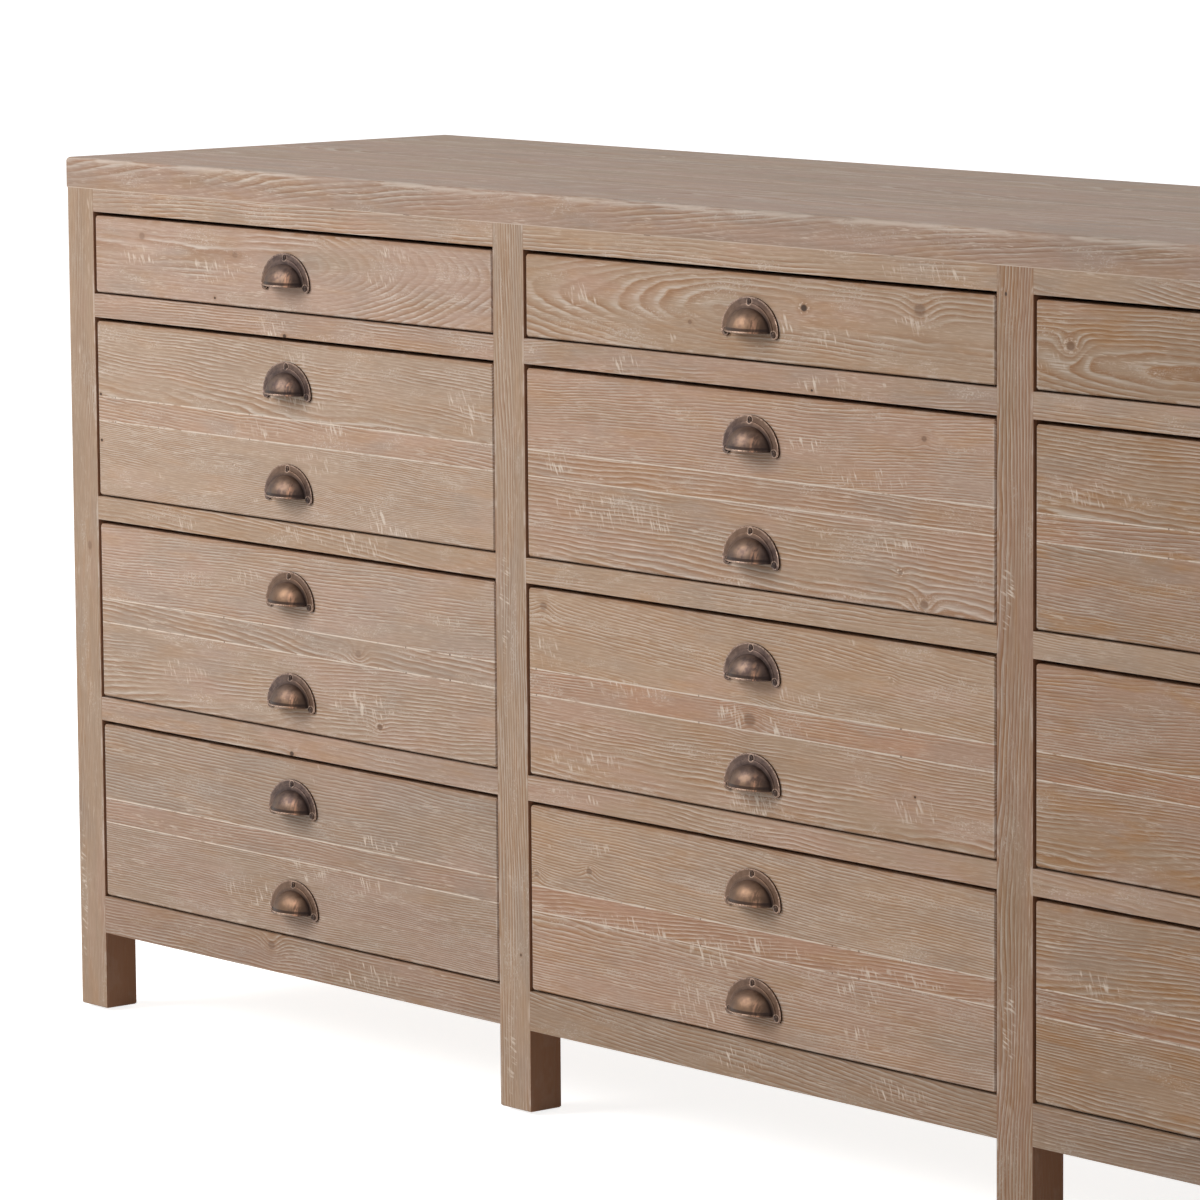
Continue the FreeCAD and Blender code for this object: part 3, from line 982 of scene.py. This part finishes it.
@dataclass
class CupPull:
    """A cup pull: a flange with two lugs, a domed cup open below, a rolled lip and three screws.

    The model's origin is on the drawer's face at the middle of the pull's height.
    """

    width: float = 75.0
    rise: float = 31.0
    flange_thickness: float = 1.8
    lug_radius: float = 5.2
    lip_drop: float = 13.0
    cup_width: float = 55.0
    cup_height: float = 21.5
    cup_wall: float = 1.4
    projection: float = 18.5
    lip_height: float = 1.7
    lip_width: float = 2.6
    lip_overhang: float = 0.9
    screw_radius: float = 2.5
    screw_height: float = 1.3
    slot_width: float = 0.9
    slot_turns: tuple[float, ...] = (4.0, -35.0, 60.0)
    top_screw_rise: float = 26.8
    side_screw_inset: float = 0.6
    side_screw_drop: float = 0.8
    collar_width: float = 62.0
    collar_height: float = 25.4
    collar_thickness: float = 2.7
    sides: int = 72

    @property
    def screw_places(self) -> tuple[tuple[float, float], ...]:
        """Place the three screws.

        Returns:
            The x and z of the top, left and right one from the middle of the mouth.
        """
        side = self.width / 2 - self.lug_radius - self.side_screw_inset
        drop = -self.side_screw_drop
        return (0.0, self.top_screw_rise), (-side, drop), (side, drop)

    def _dome(self) -> bpy.types.Object:
        """Model the cup: a quarter of an ellipsoid with a wall.

        Returns:
            The cup.
        """
        dome = Bench.start(bpy.ops.mesh.primitive_uv_sphere_add,
                           segments=self.sides, ring_count=self.sides // 2, radius=1.0)
        depth = self.projection - self.lip_overhang
        Bench.stretch(dome, self.cup_width / 2, depth, self.cup_height)
        Bench.trim(dome, REAR)
        Bench.trim(dome, BELOW)
        Bench.modify(dome, "SOLIDIFY", thickness=self.cup_wall * MM, offset=-1.0)
        Bench.smooth(dome, 50)
        return dome

    def _lip(self) -> bpy.types.Object:
        """Model the lip: a flat band round the cup's mouth with rounded edges.

        Returns:
            The lip.
        """
        lip = Bench.start(bpy.ops.mesh.primitive_circle_add,
                          vertices=self.sides * 2, radius=1.0, fill_type="NGON")
        Bench.stretch(lip, self.cup_width / 2 + self.lip_overhang, self.projection, 1 / MM)
        bpy.ops.object.mode_set(mode="EDIT")
        bpy.ops.mesh.select_all(action="SELECT")
        bpy.ops.mesh.inset(thickness=self.lip_width * MM)
        bpy.ops.mesh.delete(type="FACE")
        bpy.ops.object.mode_set(mode="OBJECT")
        Bench.modify(lip, "SOLIDIFY", thickness=self.lip_height * MM, offset=1.0)
        Bench.ease(lip, 0.55, 60)
        Bench.trim(lip, REAR)
        Bench.smooth(lip, 45)
        return lip

    def _disc(self, radii: tuple[float, float], middle: tuple[float, float],
              thick: float) -> bpy.types.Object:
        """Model an upright plate on the drawer's face.

        Args:
            radii: its half width and half height.
            middle: the x and z of its middle.
            thick: its thickness.

        Returns:
            The plate.
        """
        disc = Bench.start(bpy.ops.mesh.primitive_cylinder_add, vertices=self.sides,
                           radius=1.0, depth=1.0, rotation=(math.pi / 2, 0, 0))
        disc.location = Vector((middle[0], -thick / 2, middle[1])) * MM
        Bench.stretch(disc, radii[0], radii[1], thick)
        return disc

    def _flange(self) -> bpy.types.Object:
        """Model the flange: half an ellipse with a round lug below each end, and eased edges.

        Returns:
            The flange.
        """
        flange = self._disc((self.width / 2, self.rise), (0, 0), self.flange_thickness)
        Bench.trim(flange, BELOW, fill=True)
        for side in (-1, 1):
            reach = side * (self.width / 2 - self.lug_radius)
            radii = (self.lug_radius, self.lug_radius)
            lug = self._disc(radii, (reach, 0), self.flange_thickness)
            Bench.combine(flange, lug, "UNION")
        Bench.ease(flange, 0.6, 40)
        Bench.smooth(flange, 35)
        return flange

    def _collar(self) -> bpy.types.Object:
        """Model the raised step between the flange and the cup.

        Returns:
            The collar.
        """
        radii = (self.collar_width / 2, self.collar_height)
        collar = self._disc(radii, (0, 0), self.collar_thickness)
        Bench.trim(collar, BELOW, fill=True)
        Bench.ease(collar, 0.8, 40)
        Bench.smooth(collar, 35)
        return collar

    def _screw(self, x: float, z: float, turn: float) -> bpy.types.Object:
        """Model a round-headed slotted screw.

        Args:
            x: its place across the pull.
            z: its height above the mouth.
            turn: the slot's turn from upright, in degrees.

        Returns:
            The screw's head.
        """
        head = Bench.start(bpy.ops.mesh.primitive_uv_sphere_add,
                           segments=32, ring_count=16, radius=1.0)
        Bench.stretch(head, self.screw_radius, self.screw_height, self.screw_radius)
        Bench.trim(head, REAR, fill=True)
        slot = Bench.start(bpy.ops.mesh.primitive_cube_add, size=1.0,
                           location=(0, -self.screw_height * MM, 0))
        slot.rotation_euler = (0, math.radians(turn), 0)
        Bench.stretch(slot, self.slot_width, self.screw_height, 3 * self.screw_radius)
        Bench.combine(head, slot, "DIFFERENCE")
        Bench.smooth(head, 35)
        Bench.shift(head, Vector((x, -self.flange_thickness, z)) * MM)
        return head

    def build(self, finish: bpy.types.Material, screws: bpy.types.Material) -> bpy.types.Object:
        """Model the pull once.

        Args:
            finish: the material of the casting.
            screws: the material of its screws.

        Returns:
            The pull, about its origin.
        """
        castings = [self._flange(), self._collar(), self._dome(), self._lip()]
        heads = [self._screw(x, z, turn)
                 for (x, z), turn in zip(self.screw_places, self.slot_turns)]
        for piece in castings:
            piece.data.materials.append(finish)
        for piece in heads:
            piece.data.materials.append(screws)
        pull = Bench.join(castings + heads)
        Bench.shift(pull, Vector((0, 0, -self.lip_drop * MM)))
        spots = pull.data.attributes.new(PLACE_ON_PULL, "FLOAT_VECTOR", "POINT")
        for vertex, spot in zip(pull.data.vertices, spots.data):
            spot.vector = vertex.co / MM
        return pull

    def fit(self, pull: bpy.types.Object, column: int, row: int) -> bpy.types.Object:
        """Put copies of the pull on one drawer, in place of its plain ones.

        Args:
            pull: the modelled pull.
            column: the drawer's column, from 1 at the left.
            row: its row, from 1 at the top.

        Returns:
            The drawer's pulls as one piece.
        """
        node = f"drawer_{column}_{row}_pulls"
        low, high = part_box(node)
        lowest = low.z + (self.lip_drop + self.lug_radius) * MM
        highest = high.z - (self.rise - self.lip_drop) * MM
        heights = [lowest] if highest - lowest < self.rise * MM else [lowest, highest]
        middle = (low.x + high.x) / 2
        copies = [Bench.copy(pull, Vector((middle, high.y, height))) for height in heights]
        piece = Bench.join(copies)
        piece.name = f"pulls_{column}_{row}"
        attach(piece, f"drawer_{column}_{row}")
        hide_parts(node)
        return piece


def dress(node: str, material: bpy.types.Material) -> None:
    """Give a node its material.

    Args:
        node: the node's name.
        material: what it wears.
    """
    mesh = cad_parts[node].data
    mesh.materials.clear()
    mesh.materials.append(material)
    LOG.info("%s wears %s", node, material.name)


@dataclass
class Carcass:
    """The fixed wood: posts, rails, top, ends, back and the runners inside."""

    top_seams: tuple[float, ...] = (-111.0, 9.0, 129.0)
    column_seams: tuple[float, ...] = (-334.0, 334.0)
    end_seams: tuple[float, ...] = (253.8, 390.6, 527.4, 664.2)
    side_rail_gap: float = 459.0
    rear_post_gaps: tuple[float, ...] = (-668.0, 0.0, 668.0)
    inner_gaps: tuple[float, ...] = (200.0, 400.0, 600.0, 760.0)
    # The shades of the posts and rails, and the top's below, are partly the wood's own tone and
    # partly painted shade, set to how the light falls across the chest.
    posts: dict[int, Looks] = field(default_factory=lambda: {
        1: dict(
            shade=0.8, clarity=0.45,
            knots=(Knot(468.8, -995.5, 4, 0.45, 1.2),),
            scuffs=(Scuff(120, -1016, 80, 6),)),
        2: dict(
            shade=0.89, clarity=0.65,
            knots=(Knot(149.1, -324.6, 1.3, 0.9, 0.2),),
            scuffs=(Scuff(478, -343, 46, 8), Scuff(215, -342, 22, 7), Scuff(60, -340, 40, 9))),
        3: dict(
            shade=0.78, clarity=0.85, richness=1.1,
            knots=(Knot(799.4, 322.9, 1.6, 0.9, 0.3),),
            scuffs=(Scuff(548, 324, 30, 9), Scuff(183, 327, 40, 9))),
        4: dict(shade=0.88, clarity=1.05),
    })
    rails: dict[str, Looks] = field(default_factory=lambda: {
        "top": dict(
            seed=31.0, shade=0.95, clarity=0.6,
            scuffs=(Scuff(216, 811, 60, 8),)),
        "1": dict(
            seed=36.5, shade=0.95, clarity=0.6,
            knots=(Knot(80, 701, 1.3, 0.95, 0.2), Knot(-671.3, 698.2, 2.4, 0.9, 0.3)),
            scuffs=(Scuff(-692, 706, 30), Scuff(95, 708, 34), Scuff(-170, 705, 26))),
        "2": dict(
            seed=41, shade=0.95, clarity=0.6,
            scuffs=(Scuff(-835, 508, 24), Scuff(-664, 509, 20), Scuff(-574, 509, 60))),
        "3": dict(
            seed=47.5, shade=0.95, clarity=0.6,
            knots=(Knot(-669.1, 296.9, 2.8, 0.9, 0.5),),
            scuffs=(Scuff(-230, 306, 30, 5),)),
        "bottom": dict(
            seed=53, shade=0.76, clarity=0.85,
            knots=(Knot(-705.9, 105.5, 5, 0.5, 3),),
            scuffs=(Scuff(-560, 96, 60, 14), Scuff(-20, 98, 46, 14), Scuff(180, 100, 50, 10))),
    })

    @staticmethod
    def _pine(node: str, grain: Grain, seed: float, **looks: object) -> None:
        """Dress a node in pine.

        Args:
            node: the node's name.
            grain: the way its boards lie.
            seed: a number that its grain's luck belongs to.
            looks: other fields of the finish.
        """
        low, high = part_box(node)
        finish = PineFinish(name=f"pine_{node}", low=low, high=high, grain=grain, seed=seed, **looks)
        dress(node, finish.material())

    def build(self) -> None:
        """Dress every fixed node."""
        for number, looks in self.posts.items():
            low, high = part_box(f"post_front_{number}")
            flanks = [low.x / MM] * (number > 1) + [high.x / MM] * (number <= COLUMNS)
            self._pine(f"post_front_{number}", Grain.ALONG_Z, seed=11.0 + 3.3 * number,
                       bare_flanks=tuple(flanks), chatter=0.3, rubbed_edges=(0,), **looks)
        # The top's shade is partly its own tone and partly painted shade.
        self._pine("top_boards", Grain.ALONG_X_FLAT, 5.2, seam_axis=1, seams=self.top_seams,
                   filled_seams=True, clarity=0.52, chatter=0.6, worn_arris=True, wander=6.0,
                   shade=0.81, richness=0.95, pith_reach=30.0, pith_depth=62.0, banding=0.36)
        for level, looks in self.rails.items():
            self._pine(f"rails_front_{level}", Grain.ALONG_X_UPRIGHT,
                       seams=self.column_seams, **looks)
        self._pine("rails_side", Grain.ALONG_Y_UPRIGHT, 61.0, seam_axis=2,
                   seams=(self.side_rail_gap,))
        for side, seed in (("left", 67.0), ("right", 71.0)):
            self._pine(f"panel_{side}", Grain.ALONG_Y_UPRIGHT, seed, seam_axis=2,
                       seams=self.end_seams, clarity=0.55, chatter=0.6)
        self._pine("posts_rear", Grain.ALONG_Z, 77.0, seams=self.rear_post_gaps)
        self._pine("rails_rear", Grain.ALONG_X_UPRIGHT, 81.0, stain=PLAIN, seam_axis=2,
                   seams=self.inner_gaps)
        for number, seed in ((1, 85.0), (2, 88.0)):
            self._pine(f"partition_{number}", Grain.ALONG_Y_UPRIGHT, seed, stain=PLAIN)
        for node, seed in (("runners", 91.0), ("kickers", 93.0), ("guides", 95.0), ("stops", 97.0)):
            self._pine(node, Grain.ALONG_Y_UPRIGHT, seed, stain=PLAIN, seam_axis=2,
                       seams=self.inner_gaps)
        self._pine("panels_back", Grain.ALONG_X_UPRIGHT, 99.0, stain=PLY,
                   seams=self.column_seams, ring_width=8.0, wander=36.0)
        dress("glides", GlideFinish().material())


@dataclass
class DrawerBank:
    """The drawers: their fronts, boxes and pulls."""

    strip_from_bottom: tuple[float, float] = (74.0, 98.0)
    box_wall: float = 12.0
    fronts: dict[tuple[int, int], Looks] = field(default_factory=lambda: {
        (1, 1): dict(
            clarity=0.45, pith=Pith(770, 8, 0.2, -620),
            knots=(Knot(-899.6, 781.1, 4.2, 0.4, 0), Knot(-748.7, 771.1, 4, 0.35, 0),
                   Knot(-781.9, 727.8, 1.5, 0.9, 0.5)),
            scuffs=(Scuff(-905, 762, 36), Scuff(-783, 755, 44, 13), Scuff(-523, 761, 28, 8),
                    Scuff(-496, 786, 36, 9))),
        (1, 2): dict(
            clarity=0.78, ring_width=2.0,
            knots=(Knot(-972.9, 621, 1.7, 0.95, 0.2), Knot(-972.6, 575.3, 1.7, 0.95, 0.2),
                   Knot(-757, 569, 1.6, 0.2, 0.3, 0.9)),
            scuffs=(Scuff(-676, 677, 40), Scuff(-657, 636, 50, 9), Scuff(-396, 650, 30, 26),
                    Scuff(-713, 607), Scuff(-602, 613, 26), Scuff(-634, 579, 30, 14),
                    Scuff(-541, 536, 30, 14), Scuff(-508, 526, 50, 6))),
        (1, 3): dict(
            clarity=0.8, strip_redness=0.1, ring_width=3.1,
            knots=(Knot(-532, 338, 3.6, 0.7, 1, 0.5), Knot(-564, 404, 4, 0.35, 2.5)),
            scuffs=(Scuff(-743, 462, 32, 9), Scuff(-435, 450, 30, 8), Scuff(-839, 359, 40),
                    Scuff(-555, 354, 46, 18))),
        (1, 4): dict(
            clarity=0.98,
            scuffs=(Scuff(-651, 187, 40, 12), Scuff(-564, 183, 44, 10), Scuff(-722, 155, 60, 16),
                    Scuff(-534, 227, 40, 8))),
        (2, 1): dict(
            clarity=0.6, pith=Pith(764, 14, -0.09, -40),
            knots=(Knot(216.9, 779.3, 6.5, 0.55, 2), Knot(69.6, 771.7, 3.6, 1, 1.2, 0.7),
                   Knot(-81.3, 749.8, 2.5, 0.5, 1)),
            scuffs=(Scuff(-231, 763, 30), Scuff(40, 756, 24, 9), Scuff(120, 747),
                    Scuff(208, 768, 26))),
        (2, 2): dict(
            clarity=0.88,
            knots=(Knot(222, 528, 4.6, 0.5, 2, 0.5), Knot(192, 553, 2.4, 0.4, 0.6, 0.9),
                   Knot(222, 670, 3, 0.6, 1.5)),
            scuffs=(Scuff(-264, 610, 22, 12), Scuff(-132, 570, 36, 14), Scuff(151, 631, 60),
                    Scuff(80, 653, 42, 7), Scuff(188, 573), Scuff(-206, 573, 70, 16))),
        (2, 3): dict(
            clarity=0.78, strip_redness=0.8,
            knots=(Knot(-288, 477, 4.5, 0.45, 2), Knot(-4, 404, 7, 0.5, 3),
                   Knot(210, 361, 1.3, 0.95, 0.1), Knot(179, 458, 2.4, 0.1, 1, 0.7)),
            scuffs=(Scuff(-285, 437, 26, 16), Scuff(-176, 412, 60, 9), Scuff(60, 432, 36, 9),
                    Scuff(-30, 404, 26, 12), Scuff(40, 402, 46, 9), Scuff(-232, 342, 60, 13),
                    Scuff(10, 330, 50, 12), Scuff(210, 349, 36, 14))),
        (2, 4): dict(
            clarity=1.0, strip_redness=0.7,
            knots=(Knot(-226, 240, 3.6, 0.5, 2, 0.4), Knot(-301, 228, 3, 0.4, 2, 0.5)),
            scuffs=(Scuff(-226, 262, 34, 7), Scuff(-160, 197, 60, 10), Scuff(-58, 188, 40, 15),
                    Scuff(24, 203, 60, 8), Scuff(-76, 135, 36, 22), Scuff(140, 180, 34, 12),
                    Scuff(135, 142, 30, 10), Scuff(190, 200, 70, 7))),
        (3, 1): dict(
            clarity=0.85, ring_width=3.3, pith=Pith(748, 18, -0.05, 500),
            knots=(Knot(400, 761, 4.6, 0.6, 2.5, 0.5),),
            scuffs=(Scuff(372, 746, 30, 8),)),
        (3, 2): dict(
            clarity=0.85,
            scuffs=(Scuff(425, 640, 46, 12),)),
        (3, 3): dict(clarity=0.85, strip_redness=0.9),
        (3, 4): dict(
            clarity=0.95, strip_redness=0.8,
            scuffs=(Scuff(434, 230, 36, 14),)),
    })
    # These shades, the column shades and richness and the low shade, which darkens each row below
    # the first, are partly the wood's own tone and partly painted shade: darker towards the bottom,
    # and darker and richer towards the right, where less of the key lamp's light falls.
    shades: dict[tuple[int, int], float] = field(default_factory=lambda: {
        (1, 4): 0.87, (2, 1): 0.92, (3, 1): 0.92,
    })
    column_shades: tuple[float, ...] = (0.98, 0.99, 0.885)
    column_richness: tuple[float, ...] = (0.92, 1.02, 1.08)
    column_honey: tuple[float, ...] = (0.45, 0.45, 0.8)
    low_shade: float = 0.012

    def _front(self, column: int, row: int) -> None:
        """Dress a drawer's front, board by board.

        Args:
            column: the drawer's column, from 1 at the left.
            row: its row, from 1 at the top.
        """
        node = f"drawer_{column}_{row}_front"
        low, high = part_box(node)
        seams: tuple[float, ...] = ()
        strips: tuple[tuple[float, float], ...] = ()
        if row > 1:
            seams = tuple(low.z / MM + rise for rise in self.strip_from_bottom)
            strips = ((seams[0], seams[1]),)
        # Partly painted shade: darker towards the right and in each row lower down.
        shade = self.column_shades[column - 1] * self.shades.get((column, row), 1.0)
        finish = PineFinish(
            name=f"pine_{node}", low=low, high=high, grain=Grain.ALONG_X_UPRIGHT,
            seed=101.0 + 17.7 * column + 5.3 * row, seam_axis=2, seams=seams,
            filled_seams=True, strips=strips, rubbed_edges=(0, 2), painted_shade_under_top_edge=True,
            honeyed=self.column_honey[column - 1], richness=self.column_richness[column - 1],
            shade=shade * (1.0 - self.low_shade * (row - 1)), **self.fronts[column, row],
        )
        dress(node, finish.material())

    def _box(self, column: int, row: int) -> None:
        """Dress a drawer's box, whose sides have their grain from front to back.

        Args:
            column: the drawer's column, from 1 at the left.
            row: its row, from 1 at the top.
        """
        node = f"drawer_{column}_{row}_box"
        low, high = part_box(node)
        half = (high.x - low.x) / 2 / MM - self.box_wall
        finish = PineFinish(
            name=f"pine_{node}", low=low, high=high, grain=Grain.ALONG_X_UPRIGHT,
            seed=301.0 + 13.1 * column + 7.9 * row, stain=PLAIN, turned_beyond=half,
        )
        dress(node, finish.material())

    def build(self) -> None:
        """Dress every drawer and fit its pulls."""
        cup = CupPull()
        screws = CopperFinish(name="copper_screws", rubbed=0.25, sunk=0.5)
        model = cup.build(CopperFinish().material(cup), screws.material(cup))
        for column in range(1, COLUMNS + 1):
            for row in range(1, ROWS + 1):
                self._front(column, row)
                self._box(column, row)
                piece = cup.fit(model, column, row)
                LOG.info("%s: %d faces", piece.name, len(piece.data.polygons))
        bpy.data.objects.remove(model)


@dataclass
class Studio:
    """The floor, the lamps and the camera, with places and sizes in metres and turns in degrees."""

    camera_place: Place = (4.2806, -3.985, 1.2729)
    camera_turn: Place = (82.3836, 0.4446, 50.0281)
    camera_reach: float = 200.0
    lens: float = 196.616
    sensor: float = 36.0
    floor_size: float = 120.0
    floor_white: Colour = tint(232, 231, 229)
    floor_lift: float = 0.84
    floor_fade: tuple[float, float] = (1.3, 3.2)
    fill: float = 0.24
    key_place: Place = (-2.4, -2.9, 2.7)
    key_aim: Place = (-0.4, -0.2, 0.5)
    key_size: float = 2.4
    key_power: float = 122.0
    back_place: Place = (0.7, 4.0, 2.1)
    back_aim: Place = (0.0, 0.0, 0.5)
    back_size: float = 2.4
    back_power: float = 50.0

    def _camera(self) -> None:
        """Stand the camera well off the chest's right front."""
        data = bpy.data.cameras.new("camera")
        data.lens = self.lens
        data.sensor_width = self.sensor
        data.clip_end = self.camera_reach
        camera = bpy.data.objects.new("camera", data)
        bpy.context.scene.collection.objects.link(camera)
        turn = Euler([math.radians(angle) for angle in self.camera_turn])
        camera.matrix_world = Matrix.LocRotScale(Vector(self.camera_place), turn, None)
        bpy.context.scene.camera = camera

    def _lamp(self, name: str, place: Place, aim: Place, size: float, power: float) -> None:
        """Hang a square soft lamp.

        Args:
            name: the lamp's name.
            place: where it hangs.
            aim: the point that it faces.
            size: its side.
            power: its power in watts.
        """
        data = bpy.data.lights.new(name, "AREA")
        data.shape = "SQUARE"
        data.size = size
        data.energy = power
        lamp = bpy.data.objects.new(name, data)
        lamp.location = place
        lamp.rotation_euler = (Vector(aim) - Vector(place)).to_track_quat("-Z", "Y").to_euler()
        bpy.context.scene.collection.objects.link(lamp)

    def _seen_directly(self, shader: Shader) -> Wire:
        """Find the rays that show the background: from the camera, or by gloss or glass.

        Args:
            shader: the tree that asks.

        Returns:
            A mask from 0 to 1.
        """
        path = shader.node("LightPath", None)
        glossy = path.socket.node.outputs["Is Glossy Ray"]
        through = path.socket.node.outputs["Is Transmission Ray"]
        return shader.clamp(path + Wire(shader, glossy) + Wire(shader, through))

    def _floor(self) -> None:
        """Lay a wide pale floor that shows white and keeps a soft shadow."""
        floor = Bench.start(bpy.ops.mesh.primitive_plane_add, size=self.floor_size)
        floor.name = "studio_floor"
        shader = Shader(bpy.data.materials.new("studio_floor"))
        seen = self._seen_directly(shader)
        x, y, _ = shader.places
        near, far = (distance / MM for distance in self.floor_fade)
        away = shader.smooth((x * x + y * y) ** 0.5, near, far)
        glow = seen * (self.floor_lift + away * (1.0 - self.floor_lift))
        skin = shader.node("BsdfPrincipled", None, {
            "Base Color": self.floor_white, "Roughness": 0.9, "Specular IOR Level": 0.1,
            "Emission Color": shader.join(glow, glow, glow), "Emission Strength": 1.0})
        shader.node("OutputMaterial", None, {"Surface": skin})
        floor.data.materials.append(shader.owner)

    def _world(self) -> None:
        """Surround the scene with white that lights it only gently."""
        world = bpy.data.worlds.new("studio")
        bpy.context.scene.world = world
        shader = Shader(world)
        strength = self.fill + self._seen_directly(shader) * (1.0 - self.fill)
        sky = shader.node("Background", None, {"Color": WHITE, "Strength": strength})
        shader.node("OutputWorld", None, {"Surface": sky})

    def build(self) -> None:
        """Set up the studio."""
        bpy.context.scene.view_settings.view_transform = "Standard"
        self._camera()
        self._floor()
        self._world()
        self._lamp("key", self.key_place, self.key_aim, self.key_size, self.key_power)
        self._lamp("back", self.back_place, self.back_aim, self.back_size, self.back_power)
        LOG.info("studio: camera, floor, world and two lamps")


def main() -> None:
    """Dress the chest, fit its pulls and set up the studio."""
    logging.basicConfig(level=logging.INFO, format="%(name)s: %(message)s")
    Carcass().build()
    DrawerBank().build()
    Studio().build()


if __name__ == "__main__":
    main()
